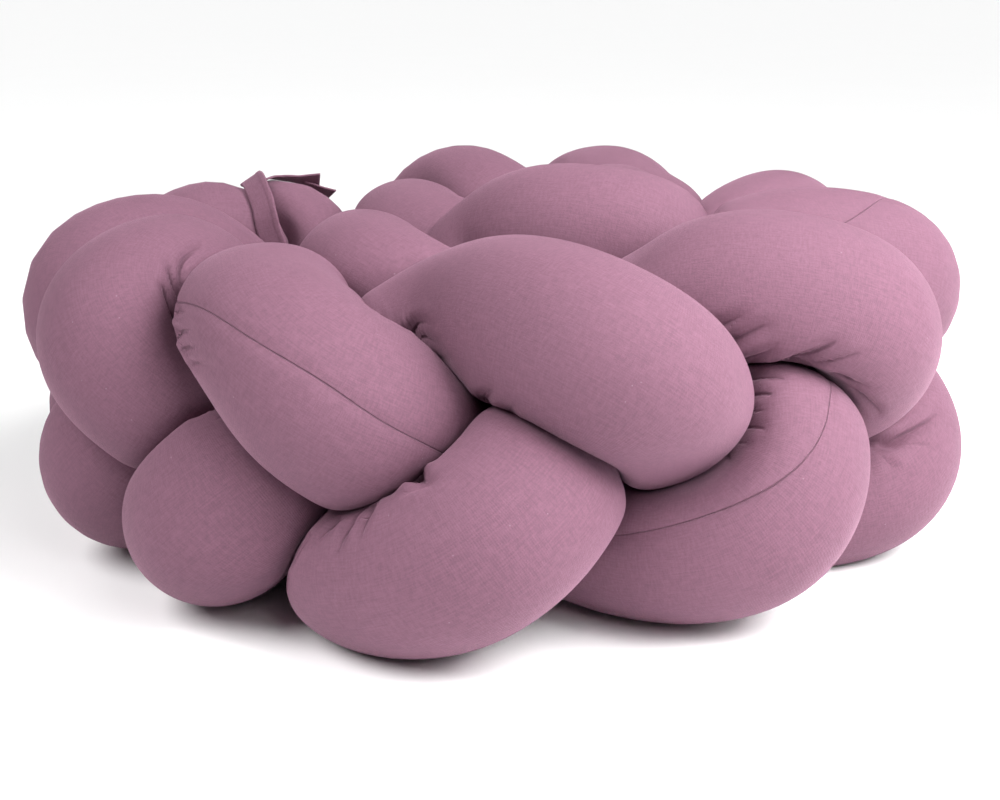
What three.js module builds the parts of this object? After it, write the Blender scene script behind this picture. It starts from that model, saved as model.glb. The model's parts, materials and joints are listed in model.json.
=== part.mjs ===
// Braided cot bumper: three stuffed fabric tubes plaited flat and curled, on edge,
// into a round of about one and a half turns, with two ribbon tails tied at the back.
// Millimetres, +Z up, the round stands on z = 0 and is centred on the Z axis.

import * as THREE from 'three';

// Driving dimensions of the plait
const TUBE_RADIUS = 50.5;
const REST_HEIGHT = 43;
const RISE = 66;
const SWAY = 44;
const SWAY_PER_PITCH = 0.37;
const LEAN = 0.32;
const TUBES = 3;

// Spaces and roundings
const PIECE_GAP = 0.6;
const CREVICE_ROUNDING = 5;
const BEND_SHARE = 0.88;
const SAME_TUBE_REACH = 190;
const NEIGHBOUR_REACH = 160;
const EVEN_PASSES = 3;
const DRAW_IN_PASSES = 8;
const DRAW_IN_SHARE = 0.4;
const END_LENGTH = 42;

// Fineness of the tubes' surfaces
const SIDES = 18;
const RING_PITCH = 20;
const NEIGHBOUR_PITCH = 8;
const FINE_STEPS_PER_ROW = 60;
const END_RING_SHARES = [0.04, 0.16, 0.36, 0.64, 1];
const ROW_STEP = 0.02;
const SMALLEST_REACH = 3;
const FLAT_TOLERANCE = 1e-6;

// The round: one row for each place where a tube passes over the top edge,
// from the inner end outwards; angle in degrees from +X, lift of that top
const COIL_ROWS = [
  { angle: -178, radius: 104, lift: -22 },
  { angle: -147, radius: 108, lift: -22 },
  { angle: -60, radius: 74, lift: 6 },
  { angle: 22, radius: 84, lift: -4 },
  { angle: 120, radius: 108, lift: -22 },
  { angle: 139, radius: 188, lift: -26 },
  { angle: 155, radius: 206, lift: -20 },
  { angle: 183, radius: 213, lift: -16 },
  { angle: 208, radius: 215, lift: -16 },
  { angle: 233, radius: 215, lift: -25 },
  { angle: 273, radius: 212, lift: -14 },
  { angle: 307, radius: 208, lift: -6 },
  { angle: 345, radius: 198, lift: -10 },
  { angle: 380, radius: 204, lift: -16 },
  { angle: 423, radius: 208, lift: -8 },
  { angle: 455, radius: 219, lift: -12 },
  { angle: 472, radius: 221, lift: -14 },
];
const FIRST_ROW = 0.4;
const LAST_ROW = 15.6;

// Where a leaf of the plait lies off its even place; spread in coil rows
const LEAF_SHIFTS = [
  { tube: 2, row: 4.8, spread: 0.8, along: 14, out: 18, up: -5 },
  { tube: 0, row: 5.5, spread: 0.8, along: 0, out: 14, up: 0 },
  { tube: 0, row: 6.4, spread: 0.6, along: 0, out: -14, up: -3 },
  { tube: 1, row: 6.5, spread: 0.8, along: 0, out: 16, up: -8 },
  { tube: 0, row: 7.7, spread: 1.2, along: 6, out: 0, up: 5 },
  { tube: 2, row: 7.9, spread: 0.8, along: -10, out: 12, up: 0 },
  { tube: 1, row: 8.7, spread: 1.2, along: 14, out: -4, up: 5 },
  { tube: 0, row: 9.4, spread: 0.9, along: -2, out: 2, up: 0 },
  { tube: 2, row: 9.7, spread: 1.2, along: -8, out: 4, up: 3 },
  { tube: 1, row: 10.5, spread: 0.8, along: -6, out: 0, up: 0 },
  { tube: 0, row: 10.9, spread: 1.1, along: -2, out: -6, up: 7 },
  { tube: 1, row: 11.8, spread: 1.1, along: 0, out: 4, up: 0 },
];

// Where a leaf is fuller or flatter than round, towards one side, and by how much
const LEAF_SWELLS = [
  { tube: 0, row: 5.7, spread: 0.6, toX: 1, toY: -0.3, toZ: 0.2, by: -14 },
  { tube: 0, row: 9.15, spread: 0.5, toX: -0.8, toY: -0.3, toZ: -0.5, by: -16 },
  { tube: 2, row: 9.6, spread: 0.5, toX: -1, toY: 0, toZ: -0.3, by: 6 },
  { tube: 1, row: 10.55, spread: 0.5, toX: 0.3, toY: -0.2, toZ: -1, by: -16 },
  { tube: 0, row: 11.0, spread: 0.5, toX: 1, toY: 0, toZ: -0.2, by: 6 },
  { tube: 2, row: 13.6, spread: 0.6, toX: 1, toY: 0, toZ: 0.2, by: 14 },
];

// Ribbon tie: middle of the ribbon and the direction across it, a row for each bend
const RIBBON_WIDTH = 17;
const RIBBON_THICKNESS = 1.4;
const RIBBON_STEPS_PER_ROW = 3;
const TIE_LONG_ROWS = [
  { x: -154, y: 49, z: 167.5, acrossX: 0.86, acrossY: -0.15, acrossZ: 0.40 },
  { x: -156.5, y: 49.5, z: 173.5, acrossX: 0.86, acrossY: -0.12, acrossZ: 0.45 },
  { x: -159, y: 51, z: 179, acrossX: 0.86, acrossY: -0.10, acrossZ: 0.48 },
  { x: -160.5, y: 52.5, z: 185.5, acrossX: 0.86, acrossY: -0.08, acrossZ: 0.50 },
  { x: -162.5, y: 56.5, z: 191.5, acrossX: 0.86, acrossY: -0.05, acrossZ: 0.50 },
  { x: -167, y: 63.5, z: 197.5, acrossX: 0.86, acrossY: -0.02, acrossZ: 0.50 },
  { x: -170, y: 73, z: 202.5, acrossX: 0.84, acrossY: 0.02, acrossZ: 0.52 },
  { x: -174, y: 87, z: 205, acrossX: 0.82, acrossY: 0.05, acrossZ: 0.54 },
  { x: -174, y: 103, z: 204, acrossX: 0.72, acrossY: -0.20, acrossZ: 0.58 },
  { x: -168, y: 120, z: 202, acrossX: 0.40, acrossY: -0.60, acrossZ: 0.64 },
  { x: -158, y: 136, z: 200, acrossX: 0.14, acrossY: -0.74, acrossZ: 0.64 },
  { x: -145, y: 149, z: 197, acrossX: 0.05, acrossY: -0.80, acrossZ: 0.60 },
  { x: -130, y: 156, z: 193, acrossX: -0.05, acrossY: -0.80, acrossZ: 0.60 },
];
const TIE_SHORT_ROWS = [
  { x: -143, y: 162.8, z: 188, acrossX: 0.10, acrossY: -0.60, acrossZ: 0.80 },
  { x: -134, y: 165.5, z: 186, acrossX: 0.12, acrossY: -0.50, acrossZ: 0.85 },
  { x: -126, y: 165, z: 185, acrossX: 0.30, acrossY: -0.20, acrossZ: 0.92 },
  { x: -117, y: 160, z: 184, acrossX: 0.45, acrossY: 0.20, acrossZ: 0.85 },
];

// Moves the round so that its outer bounds are centred on the Z axis
const CENTRE_SHIFT = { x: 0.5, y: 2.1 };

// Fabric
const FABRIC = { color: 0xa57b92, roughness: 0.95, metalness: 0 };

const degrees = THREE.MathUtils.degToRad;

const coilCurve = new THREE.CatmullRomCurve3(
  COIL_ROWS.map(({ angle, radius, lift }) => new THREE.Vector3(
    radius * Math.cos(degrees(angle)),
    radius * Math.sin(degrees(angle)),
    lift,
  )),
  false,
  'catmullrom',
);

// The plait's mid-line at a place counted in coil rows, with its level
// direction and its length for one row
function coilAt(row) {
  const last = COIL_ROWS.length - 1;
  const along = coilCurve.getPoint((row + ROW_STEP) / last);
  along.sub(coilCurve.getPoint((row - ROW_STEP) / last)).setZ(0);
  const pitch = along.length() / (2 * ROW_STEP);
  return { mid: coilCurve.getPoint(row / last), along: along.normalize(), pitch };
}

// Middle of one tube: the mid-line, moved sideways by a sway that comes twice
// in a tube's turn and up and down by a rise that comes once
function tubeMiddle(tube, row) {
  const { mid, along, pitch } = coilAt(row);
  const even = 2 * Math.PI * (row - tube) / TUBES;
  const turn = even - LEAN / 2 * Math.cos(2 * even);
  const top = (1 + Math.cos(turn)) / 2;
  const shift = leafShift(tube, row);
  const sway = Math.min(SWAY, SWAY_PER_PITCH * pitch) * Math.sin(2 * turn) + shift.out;
  return new THREE.Vector3(
    mid.x + along.y * sway + along.x * shift.along,
    mid.y - along.x * sway + along.y * shift.along,
    REST_HEIGHT + (2 * RISE + mid.z) * top + shift.up,
  );
}

function leafShift(tube, row) {
  const shift = { along: 0, out: 0, up: 0 };
  for (const leaf of LEAF_SHIFTS.filter((candidate) => candidate.tube === tube)) {
    const weight = leafWeight(leaf, row);
    shift.along += leaf.along * weight;
    shift.out += leaf.out * weight;
    shift.up += leaf.up * weight;
  }
  return shift;
}

// A leaf's share at a place: whole at its own row, none past its spread
function leafWeight(leaf, row) {
  const off = Math.min(1, Math.abs(row - leaf.row) / leaf.spread);
  return Math.cos(off * Math.PI / 2) ** 2;
}

function leafSwell(tube, row, ray) {
  let more = 0;
  for (const leaf of LEAF_SWELLS.filter((candidate) => candidate.tube === tube)) {
    const side = new THREE.Vector3(leaf.toX, leaf.toY, leaf.toZ).normalize();
    more += leaf.by * leafWeight(leaf, row) * Math.max(0, side.dot(ray)) ** 2;
  }
  return more;
}

// Fine points along a tube with the length run so far
function traceTube(tube) {
  const steps = Math.round((LAST_ROW - FIRST_ROW) * FINE_STEPS_PER_ROW);
  const points = [];
  let run = 0;
  for (let i = 0; i <= steps; i += 1) {
    const row = FIRST_ROW + (LAST_ROW - FIRST_ROW) * i / steps;
    const place = tubeMiddle(tube, row);
    if (i > 0) {
      run += place.distanceTo(points[i - 1].place);
    }
    points.push({ place, run, row });
  }
  return points;
}

function rowAtRun(trace, run) {
  const next = Math.max(1, trace.findIndex((point) => point.run >= run));
  const before = trace[next - 1];
  const after = trace[next];
  const share = (run - before.run) / (after.run - before.run);
  return before.row + share * (after.row - before.row);
}

// Points along every tube's middle, close enough together to measure from
function middlePoints(traces) {
  return traces.flatMap((trace, tube) => {
    const length = trace.at(-1).run;
    const count = Math.round(length / NEIGHBOUR_PITCH);
    return Array.from({ length: count + 1 }, (_, i) => {
      const run = length * i / count;
      return { tube, run, place: tubeMiddle(tube, rowAtRun(trace, run)) };
    });
  });
}

function smallerSmoothly(a, b, rounding) {
  const h = Math.max(rounding - Math.abs(a - b), 0) / rounding;
  return Math.min(a, b) - h * h * rounding / 4;
}

// Free radius near a tube's end: a rounded, gathered end
function endShare(run, length) {
  const fromEnd = Math.min(run, length - run, END_LENGTH) / END_LENGTH;
  return Math.sqrt(1 - (1 - fromEnd) ** 2);
}

function ringRuns(length) {
  const ends = END_RING_SHARES.map((share) => share * END_LENGTH);
  const middleLength = length - 2 * END_LENGTH;
  const count = Math.round(middleLength / RING_PITCH);
  const step = middleLength / count;
  const middle = Array.from({ length: count - 1 }, (_, i) => END_LENGTH + step * (i + 1));
  return [...ends, ...middle, ...ends.map((run) => length - run).reverse()];
}

// Cross-section of a tube: its middle, its bend, the rays across it, turned as
// little as can be from those before, and the middles of what lies around it
function makeRing(trace, tube, run, middles, rayBefore) {
  const row = rowAtRun(trace, run);
  const place = tubeMiddle(tube, row);
  const ahead = tubeMiddle(tube, row + ROW_STEP);
  const behind = tubeMiddle(tube, row - ROW_STEP);
  const along = ahead.clone().sub(behind).normalize();
  const toAhead = ahead.sub(place);
  const toBehind = place.clone().sub(behind);
  const spacing = (toAhead.length() + toBehind.length()) / 2;
  const bend = toAhead.normalize().sub(toBehind.normalize()).divideScalar(spacing);
  const across = rayBefore.clone().addScaledVector(along, -rayBefore.dot(along)).normalize();
  const upward = along.clone().cross(across);
  const rays = Array.from({ length: SIDES }, (_, side) => {
    const turn = 2 * Math.PI * side / SIDES;
    return across.clone().multiplyScalar(Math.cos(turn)).addScaledVector(upward, Math.sin(turn));
  });
  const isOwn = (point) => point.tube === tube && Math.abs(point.run - run) < SAME_TUBE_REACH;
  const nearby = middles.filter((point) => point.place.distanceTo(place) < NEIGHBOUR_REACH);
  const own = nearby.filter(isOwn).map((point) => point.place);
  const beside = nearby.filter((point) => !isOwn(point)).map((point) => point.place);
  const share = endShare(run, trace.at(-1).run);
  const ring = { place, bend, rays, own, beside };
  ring.floors = rays.map((ray) => (ray.z < 0 ? place.z / -ray.z : Infinity));
  ring.reaches = rays.map((ray) => {
    const free = share * (TUBE_RADIUS + leafSwell(tube, row, ray));
    return reach(ring, ray, free);
  });
  return ring;
}

// Distance from a tube's middle to its surface along one ray: the free radius,
// held back half-way to each neighbour and by the tube's own bend
function reach(ring, ray, free) {
  const halfWays = ring.beside.map((place) => {
    const offset = place.clone().sub(ring.place);
    const toward = offset.dot(ray);
    return toward > 0 ? offset.lengthSq() / (2 * toward) : Infinity;
  });
  const bend = ring.bend.dot(ray);
  const ownBend = bend > 0 ? BEND_SHARE / bend : Infinity;
  const limit = Math.min(ownBend, ...halfWays) - PIECE_GAP / 2;
  return smallerSmoothly(free, limit, CREVICE_ROUNDING);
}

// Stuffing evens out a tube: each reach moves to the mean of those around it,
// and what comes to the floor lies flat on it
function evenOut(rings) {
  for (let pass = 0; pass < EVEN_PASSES; pass += 1) {
    const before = rings.map((ring) => ring.reaches);
    for (let r = 1; r < rings.length - 1; r += 1) {
      rings[r].reaches = before[r].map((value, side) => {
        const left = before[r][(side + 1) % SIDES];
        const right = before[r][(side + SIDES - 1) % SIDES];
        return (value + (left + right + before[r - 1][side] + before[r + 1][side]) / 4) / 2;
      });
    }
  }
  for (const ring of rings) {
    ring.reaches = ring.reaches.map((value, side) => Math.min(value, ring.floors[side]));
  }
}

function surfacePoint(ring, side) {
  const point = ring.place.clone().addScaledVector(ring.rays[side], ring.reaches[side]);
  return Math.abs(point.z) < FLAT_TOLERANCE ? point.setZ(0) : point;
}

const nearest = (point, places) => Math.min(...places.map((place) => place.distanceTo(point)));

// How far a point of a tube lies past the half-way to the tubes beside it
function overrun(point, ring) {
  return nearest(point, ring.own) - nearest(point, ring.beside) + PIECE_GAP;
}

// Facets that bridge a hollow cut into the neighbour, so their corners draw in
function drawIn(rings) {
  for (let pass = 0; pass < DRAW_IN_PASSES; pass += 1) {
    const pulls = rings.map(() => new Array(SIDES).fill(0));
    for (let r = 0; r < rings.length - 1; r += 1) {
      for (let side = 0; side < SIDES; side += 1) {
        const next = (side + 1) % SIDES;
        const corners = [[r, side], [r, next], [r + 1, side], [r + 1, next]];
        const [a, b, c, d] = corners.map(([ring, at]) => surfacePoint(rings[ring], at));
        const edges = [midpoint(a, b), midpoint(a, c), midpoint(b, c)];
        const tests = [a, ...edges, centroid(a, b, c), centroid(b, d, c)];
        const worst = Math.max(...tests.map((point) => overrun(point, rings[r])));
        for (const [ring, at] of corners) {
          pulls[ring][at] = Math.max(pulls[ring][at], worst * DRAW_IN_SHARE);
        }
      }
    }
    rings.forEach((ring, r) => {
      ring.reaches = ring.reaches.map((value, side) => Math.max(SMALLEST_REACH, value - pulls[r][side]));
    });
  }
}

const midpoint = (a, b) => a.clone().add(b).divideScalar(2);
const centroid = (a, b, c) => a.clone().add(b).add(c).divideScalar(3);

// Closed skin through the rings, with a point at each end
function skin(rings, first, last) {
  const positions = [...first.toArray()];
  for (const ring of rings) {
    for (let side = 0; side < SIDES; side += 1) {
      positions.push(...surfacePoint(ring, side).toArray());
    }
  }
  positions.push(...last.toArray());
  const endPoint = 1 + rings.length * SIDES;
  const endRing = endPoint - SIDES;
  const faces = [];
  for (let side = 0; side < SIDES; side += 1) {
    const next = (side + 1) % SIDES;
    faces.push(0, 1 + next, 1 + side);
    for (let a = 1; a < endRing; a += SIDES) {
      const b = a + SIDES;
      faces.push(a + side, a + next, b + side);
      faces.push(a + next, b + next, b + side);
    }
    faces.push(endPoint, endRing + side, endRing + next);
  }
  const geometry = new THREE.BufferGeometry();
  geometry.setAttribute('position', new THREE.Float32BufferAttribute(positions, 3));
  geometry.setIndex(faces);
  geometry.computeVertexNormals();
  return geometry;
}

function makeTube(tube, traces, middles) {
  const trace = traces[tube];
  const rings = [];
  let rayBefore = new THREE.Vector3(0, 0, 1);
  for (const run of ringRuns(trace.at(-1).run)) {
    const ring = makeRing(trace, tube, run, middles, rayBefore);
    rings.push(ring);
    [rayBefore] = ring.rays;
  }
  evenOut(rings);
  drawIn(rings);
  return skin(rings, trace[0].place, trace.at(-1).place);
}

// Flat ribbon swept along its rows, with square cut ends
function makeRibbon(rows) {
  const middle = new THREE.CatmullRomCurve3(rows.map(({ x, y, z }) => new THREE.Vector3(x, y, z)));
  const across = new THREE.CatmullRomCurve3(
    rows.map(({ acrossX, acrossY, acrossZ }) => new THREE.Vector3(acrossX, acrossY, acrossZ)),
  );
  const steps = (rows.length - 1) * RIBBON_STEPS_PER_ROW;
  const positions = [];
  for (let i = 0; i <= steps; i += 1) {
    const along = middle.getTangent(i / steps);
    const side = across.getPoint(i / steps);
    side.addScaledVector(along, -side.dot(along)).setLength(RIBBON_WIDTH / 2);
    const face = along.clone().cross(side).setLength(RIBBON_THICKNESS / 2);
    for (const [s, f] of [[1, 1], [-1, 1], [-1, -1], [1, -1]]) {
      const corner = middle.getPoint(i / steps).addScaledVector(side, s).addScaledVector(face, f);
      positions.push(...corner.toArray());
    }
  }
  const end = 4 * steps;
  const faces = [0, 2, 1, 0, 3, 2, end, end + 1, end + 2, end, end + 2, end + 3];
  for (let a = 0; a < end; a += 4) {
    for (let corner = 0; corner < 4; corner += 1) {
      const next = (corner + 1) % 4;
      faces.push(a + corner, a + next, a + 4 + corner);
      faces.push(a + next, a + 4 + next, a + 4 + corner);
    }
  }
  const geometry = new THREE.BufferGeometry();
  geometry.setAttribute('position', new THREE.Float32BufferAttribute(positions, 3));
  geometry.setIndex(faces);
  geometry.computeVertexNormals();
  return geometry;
}

const bumper = new THREE.Group();
bumper.name = 'braided_bumper';
bumper.position.set(CENTRE_SHIFT.x, CENTRE_SHIFT.y, 0);
const traces = Array.from({ length: TUBES }, (_, tube) => traceTube(tube));
const middles = middlePoints(traces);
for (let tube = 0; tube < TUBES; tube += 1) {
  const mesh = new THREE.Mesh(makeTube(tube, traces, middles), new THREE.MeshStandardMaterial(FABRIC));
  mesh.name = `tube_${tube + 1}`;
  bumper.add(mesh);
}
for (const [name, rows] of [['tie_long', TIE_LONG_ROWS], ['tie_short', TIE_SHORT_ROWS]]) {
  const mesh = new THREE.Mesh(makeRibbon(rows), new THREE.MeshStandardMaterial(FABRIC));
  mesh.name = name;
  bumper.add(mesh);
}

export default bumper;
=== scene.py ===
"""Looks of a braided cot bumper: three stuffed cotton tubes plaited flat, curled on edge
into a round, with the two tails of its ribbon tie, on a pale floor in soft light."""

import json
import math
from collections import namedtuple

import bpy
import numpy as np
from mathutils import Euler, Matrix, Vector

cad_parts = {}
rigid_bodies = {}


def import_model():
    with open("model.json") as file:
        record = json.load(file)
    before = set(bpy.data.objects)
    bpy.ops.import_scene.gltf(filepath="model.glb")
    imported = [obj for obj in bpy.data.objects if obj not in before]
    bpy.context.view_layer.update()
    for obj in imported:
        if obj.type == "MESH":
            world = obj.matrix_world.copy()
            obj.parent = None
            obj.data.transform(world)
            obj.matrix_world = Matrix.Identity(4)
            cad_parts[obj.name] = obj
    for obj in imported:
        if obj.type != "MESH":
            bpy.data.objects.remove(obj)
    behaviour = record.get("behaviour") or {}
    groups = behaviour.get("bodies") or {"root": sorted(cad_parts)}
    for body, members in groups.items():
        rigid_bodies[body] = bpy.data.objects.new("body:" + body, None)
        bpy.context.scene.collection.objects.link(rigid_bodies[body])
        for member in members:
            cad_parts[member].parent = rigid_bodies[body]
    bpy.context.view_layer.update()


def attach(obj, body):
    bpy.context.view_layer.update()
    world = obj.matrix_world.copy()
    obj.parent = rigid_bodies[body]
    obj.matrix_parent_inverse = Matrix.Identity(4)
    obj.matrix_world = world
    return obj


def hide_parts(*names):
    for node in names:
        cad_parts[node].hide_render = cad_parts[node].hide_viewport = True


bl_info = {
    "name": "Braided Cot Bumper",
    "version": (1, 0, 0),
    "blender": (4, 5, 0),
    "location": "View3D > Sidebar > Bumper",
    "description": "Plaits three stuffed cotton tubes into a round and ties them with a ribbon",
    "category": "Add Mesh",
}

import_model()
MM = 0.001

# The round, a row for each place where a tube passes over the top edge, from the inner
# end outwards: angle in degrees from +X, radius and lift of that top in millimetres
CoilRow = namedtuple("CoilRow", "angle radius lift")
COIL_ROWS = [
    CoilRow(-178, 104, -22),
    CoilRow(-147, 108, -22),
    CoilRow(-60, 74, 6),
    CoilRow(22, 84, -4),
    CoilRow(120, 108, -22),
    CoilRow(139, 188, -26),
    CoilRow(155, 206, -20),
    CoilRow(183, 213, -16),
    CoilRow(208, 215, -16),
    CoilRow(233, 215, -25),
    CoilRow(273, 212, -14),
    CoilRow(307, 208, -6),
    CoilRow(345, 198, -10),
    CoilRow(380, 204, -16),
    CoilRow(423, 208, -8),
    CoilRow(455, 219, -12),
    CoilRow(472, 221, -14),
]
FIRST_ROW = 0.4
LAST_ROW = 15.6

# Where a leaf of the plait lies off its even place: spread in coil rows, moves in millimetres
Shift = namedtuple("Shift", "tube row spread along out up")
LEAF_SHIFTS = [
    Shift(2, 4.8, 0.8, 14, 18, -5),
    Shift(0, 5.5, 0.8, 0, 14, 0),
    Shift(0, 6.4, 0.6, 0, -14, -3),
    Shift(1, 6.5, 0.8, 0, 16, -8),
    Shift(0, 7.7, 1.2, 6, 0, 5),
    Shift(2, 7.9, 0.8, -10, 12, 0),
    Shift(1, 8.7, 1.2, 14, -4, 5),
    Shift(0, 9.4, 0.9, -2, 2, 0),
    Shift(2, 9.7, 1.2, -8, 4, 3),
    Shift(1, 10.5, 0.8, -6, 0, 0),
    Shift(0, 10.9, 1.1, -2, -6, 7),
    Shift(1, 11.8, 1.1, 0, 4, 0),
]

# Where a leaf is fuller or flatter than round: spread in coil rows, the direction of the side
# that changes and by how many millimetres
Swell = namedtuple("Swell", "tube row spread to by")
LEAF_SWELLS = [
    Swell(2, 2.32, 0.3, (1, 0, 0.1), 13),
    Swell(2, 4.85, 0.5, (-0.6, -1, -0.1), 12),
    Swell(2, 4.9, 0.6, (-1, -0.5, 0.3), 10),
    Swell(0, 5.6, 0.7, (1, -0.3, 0.2), -26),
    Swell(0, 5.9, 0.5, (0.6, 0, 1), 8),
    Swell(1, 6.72, 0.3, (0.5, 0, 1), -12),
    Swell(2, 7.80, 0.3, (1, 0.3, 0.5), -10),
    Swell(2, 7.95, 0.5, (-1, 0, 0.6), -7),
    Swell(0, 9.10, 0.25, (-1, -0.2, 0.4), 9),
    Swell(0, 9.15, 0.5, (-0.8, -0.3, -0.5), -16),
    Swell(0, 9.34, 0.32, (1, -0.1, 0.35), 9),
    Swell(2, 9.6, 0.5, (-1, 0, -0.3), 6),
    Swell(2, 9.62, 0.25, (-1, -0.2, -0.2), 11),
    Swell(2, 10.0, 0.35, (0, -1, 0.3), 11),
    Swell(1, 10.52, 0.2, (0.8, -0.3, -0.5), -5),
    Swell(1, 10.55, 0.5, (0.3, -0.2, -1), -16),
    Swell(2, 10.72, 0.25, (-0.3, 0, 1), -12),
    Swell(2, 10.80, 0.35, (-0.2, 0, 1), -11),
    Swell(0, 11.0, 0.5, (1, 0, -0.2), 6),
    Swell(0, 11.03, 0.25, (0.5, -0.2, 0.8), 7),
    Swell(2, 13.6, 0.6, (1, 0, 0.2), 14),
    Swell(2, 14.0, 0.4, (0.2, 0, 1), -4),
    Swell(2, 14.15, 0.4, (-1, 0, -0.1), 16),
]

# Where a leaf lies over its neighbour: its tube and row, the neighbour's, the spread in coil
# rows and how many millimetres past half-way it stands
Press = namedtuple("Press", "tube row other other_row spread by")
LEAF_PRESSES = [
    Press(2, 4.9, 0, 5.8, 0.7, 14),
    Press(0, 9.15, 2, 8.35, 0.28, 12),
    Press(1, 9.05, 2, 9.72, 0.25, 6),
    Press(2, 9.64, 1, 8.96, 0.2, 9),
    Press(0, 11.03, 2, 11.26, 0.3, 10),
]

# Middle of each ribbon and the direction across it, a row for each bend, in millimetres
RibbonRow = namedtuple("RibbonRow", "x y z across_x across_y across_z")
TIE_LONG_ROWS = [
    RibbonRow(-151.5, 48.5, 158, 0.86, -0.17, 0.36),
    RibbonRow(-154, 49, 167.5, 0.86, -0.15, 0.40),
    RibbonRow(-156.5, 49.5, 173.5, 0.86, -0.12, 0.45),
    RibbonRow(-159, 51, 179, 0.86, -0.10, 0.48),
    RibbonRow(-160.5, 52.5, 185.5, 0.86, -0.08, 0.50),
    RibbonRow(-162.5, 56.5, 191.5, 0.86, -0.05, 0.50),
    RibbonRow(-167, 63.5, 197.5, 0.86, -0.02, 0.50),
    RibbonRow(-170, 73, 202.5, 0.84, 0.02, 0.52),
    RibbonRow(-174, 87, 205, 0.82, 0.05, 0.54),
    RibbonRow(-176, 104, 201, 0.75, -0.15, 0.50),
    RibbonRow(-174, 124, 196, 0.60, -0.55, 0.30),
    RibbonRow(-166, 143, 196, 0.30, -0.90, 0.15),
    RibbonRow(-155, 154, 195.5, 0.12, -0.90, 0.30),
    RibbonRow(-145, 158, 194.5, 0.03, -0.85, 0.50),
    RibbonRow(-134, 160, 194, -0.05, -0.75, 0.66),
]
TIE_SHORT_ROWS = [
    RibbonRow(-147, 165, 187, 0.10, -0.75, 0.65),
    RibbonRow(-140, 165.5, 185.5, 0.22, -0.75, 0.60),
    RibbonRow(-133, 167, 183.5, 0.42, -0.70, 0.52),
    RibbonRow(-127, 170, 181.5, 0.60, -0.62, 0.48),
]

# Puckers, a row for each: from the deep end in a crevice to where it fades out,
# by coil row and by turn round the tube in degrees (0 up, 90 outwards, -90 inwards), with
# the trough's half width and depth in millimetres
Fold = namedtuple("Fold", "tube row turn to_row to_turn width depth")
FOLDS = [
    # left loop, a fan into the pinch
    Fold(2, 8.38, -33, 8.20, -41, 3.0, 7.0),
    Fold(2, 8.40, -4, 8.31, -25, 3.2, 6.4),
    Fold(2, 8.46, 12, 8.40, 1, 4.0, 5.0),
    Fold(2, 8.27, -48, 8.05, -47, 2.6, 4.0),
    # first front leaf, its left edge and its right edge
    Fold(0, 9.15, 64, 9.23, 55, 3.1, 2.6),
    Fold(0, 9.17, 74, 9.26, 59, 3.4, 3.8),
    Fold(0, 9.22, 76, 9.29, 62, 3.1, 3.2),
    Fold(0, 9.26, 79, 9.31, 68, 3.1, 2.4),
    Fold(0, 9.48, -2, 9.43, -7, 3.4, 3.8),
    Fold(0, 9.45, -14, 9.39, -15, 3.4, 2.6),
    # low loop on the left, its top
    Fold(1, 9.06, -16, 9.02, 12, 3.6, 3.5),
    Fold(1, 9.03, -20, 9.00, 0, 3.6, 2.6),
    # second front leaf, its left edge and its lower edge
    Fold(1, 9.75, 71, 10.02, 82, 3.4, 4.5),
    Fold(1, 9.82, 82, 10.05, 93, 3.4, 3.5),
    Fold(1, 9.84, 104, 10.08, 99, 3.4, 2.9),
    Fold(1, 10.13, 120, 10.19, 104, 3.1, 2.4),
    Fold(1, 10.20, 121, 10.23, 110, 3.1, 1.4),
    # low loop in the middle, its notch and its upper edge
    Fold(2, 9.89, 18, 9.91, 31, 3.6, 6.4),
    Fold(2, 9.89, 31, 9.93, 27, 2.9, 2.6),
    Fold(2, 9.80, 51, 9.80, 68, 2.9, 3.8),
    Fold(2, 9.77, 55, 9.76, 77, 3.2, 4.6),
    Fold(2, 9.72, 64, 9.70, 77, 2.9, 2.6),
    Fold(2, 9.67, 77, 9.65, 89, 2.9, 2.6),
    Fold(2, 9.58, 95, 9.62, 104, 3.1, 3.6),
    # third front leaf, long shallow ones on the left and a fan on the right
    Fold(2, 11.06, 94, 11.11, 84, 4.3, 3.2),
    Fold(2, 11.07, 106, 11.14, 90, 4.3, 4.5),
    Fold(2, 11.11, 119, 11.16, 103, 4.1, 2.9),
    Fold(2, 11.195, 115, 11.24, 95, 4.3, 6.4),
    Fold(2, 11.22, 118, 11.28, 100, 2.8, 4.6),
    Fold(2, 11.29, 127, 11.34, 130, 2.8, 3.4),
    Fold(2, 11.36, 146, 11.43, 160, 2.9, 3.6),
    # low loop on the right, out of the crevice beside the second leaf's end
    Fold(0, 11.08, -18, 11.04, 6, 4.4, 8.2),
    Fold(0, 11.04, -16, 11.01, 2, 4.2, 7.2),
    Fold(0, 11.00, -14, 10.98, 2, 3.4, 4.2),
    Fold(0, 10.97, -14, 10.94, 12, 3.4, 4.2),
    Fold(0, 10.94, -18, 10.91, 14, 3.4, 3.8),
    Fold(0, 10.90, -6, 10.85, 28, 3.4, 3.2),
    # last low loop, under the third leaf's end
    Fold(1, 11.80, 47, 11.89, 41, 3.6, 4.5),
    Fold(1, 11.77, 50, 11.84, 63, 3.6, 4.2),
    Fold(1, 11.75, 52, 11.81, 68, 3.6, 3.5),
    Fold(1, 11.73, 53, 11.75, 71, 3.8, 3.2),
    Fold(1, 11.70, 51, 11.71, 70, 3.8, 2.9),
]

# How a pucker is drawn: points along it, the share of its length by which it begins before
# its deep end, rings round it, power of its fading, its ridges' share of the depth and place
# in half widths, half widths that its crease tells, and millimetres where there is none
FOLD_STEPS = 48
FOLD_START = 0.4
FOLD_RINGS_AROUND = 14
FOLD_FADE = 0.8
FOLD_RIDGE = 0.30
FOLD_RIDGE_AT = 2
CREASE_REACH = 2
CREASE_FAR = 12.0

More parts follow.
